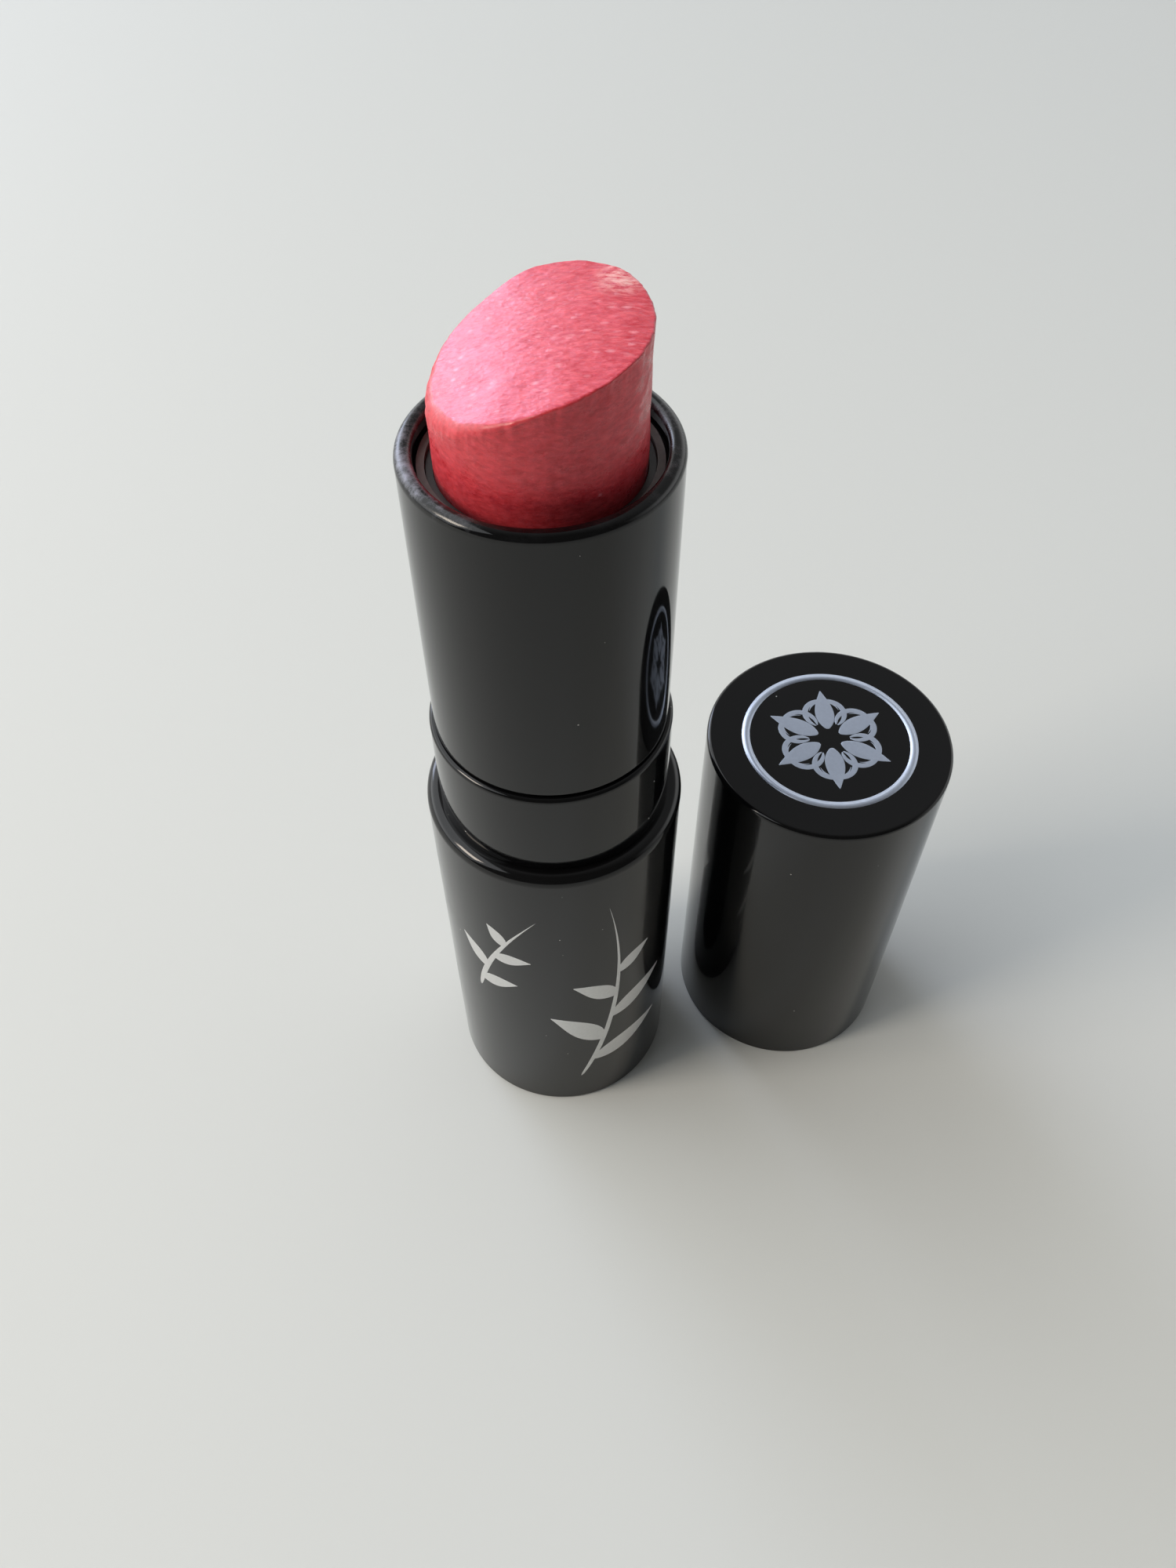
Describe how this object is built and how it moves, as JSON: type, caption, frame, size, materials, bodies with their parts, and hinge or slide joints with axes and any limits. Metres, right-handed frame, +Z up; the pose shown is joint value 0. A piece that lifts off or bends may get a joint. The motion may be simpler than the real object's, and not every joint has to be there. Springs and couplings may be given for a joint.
{
  "type": "lipstick case",
  "caption": "Round stepped twist-up lipstick case with a slanted wax bullet wound up out of its tube, and its straight round pull-off cap standing beside it.",
  "frame": {"origin": "centre of the base's underside, on the surface that the case stands on", "axes": "+Z up along the case's axis, towards the wax; +X towards the side where the cap stands, square to the line of sight onto the slanted face"},
  "size_m": [0.0404, 0.0228, 0.0741],
  "materials": {
    "case_gloss": "high gloss black, with a silvery printed band of sprigs on the base and a ring on the cap's end",
    "lacquered_metal": "gloss black lacquer, a little scuffed along the lip",
    "lipstick_wax": "satin coral-pink wax with a fine pearl, drawn into streaks by use",
    "cup_moulding": "satin dark grey",
    "fork_moulding": "satin dark grey",
    "sleeve_moulding": "satin dark grey",
    "inner_moulding": "satin black",
    "silicone": "matt translucent grey",
    "weight_steel": "turned, bright"
  },
  "bodies": {
    "base": {"base_shell": "case_gloss", "base_insert": "inner_moulding", "base_weight": "weight_steel", "bottom_plate": "case_gloss", "collar": "lacquered_metal", "brake_ring": "silicone", "inner_fork": "fork_moulding"},
    "tube": {"tube_shell": "lacquered_metal", "spiral_sleeve": "sleeve_moulding"},
    "carriage": {"bullet_cup": "cup_moulding", "lipstick_bullet": "lipstick_wax"},
    "cap": {"cap_shell": "case_gloss", "cap_liner": "inner_moulding"}
  },
  "joints": [
    {"name": "tube_twist", "type": "hinge", "parent": "base", "child": "tube", "pos_m": [0, 0, 0.05], "axis": [0, 0, -1], "range_deg": [-468, 18]},
    {"name": "wax_rise", "type": "slide", "parent": "base", "child": "carriage", "axis": [0, 0, 1], "range_m": [-0.026, 0.001]},
    {"name": "cap_lift", "type": "slide", "parent": "base", "child": "cap", "axis": [0, 0, 1], "range_m": [0, 0.032]}
  ],
  "couplings": [
    {"joint": "wax_rise", "follows": "tube_twist", "m_per_rad": 0.0031831}
  ]
}
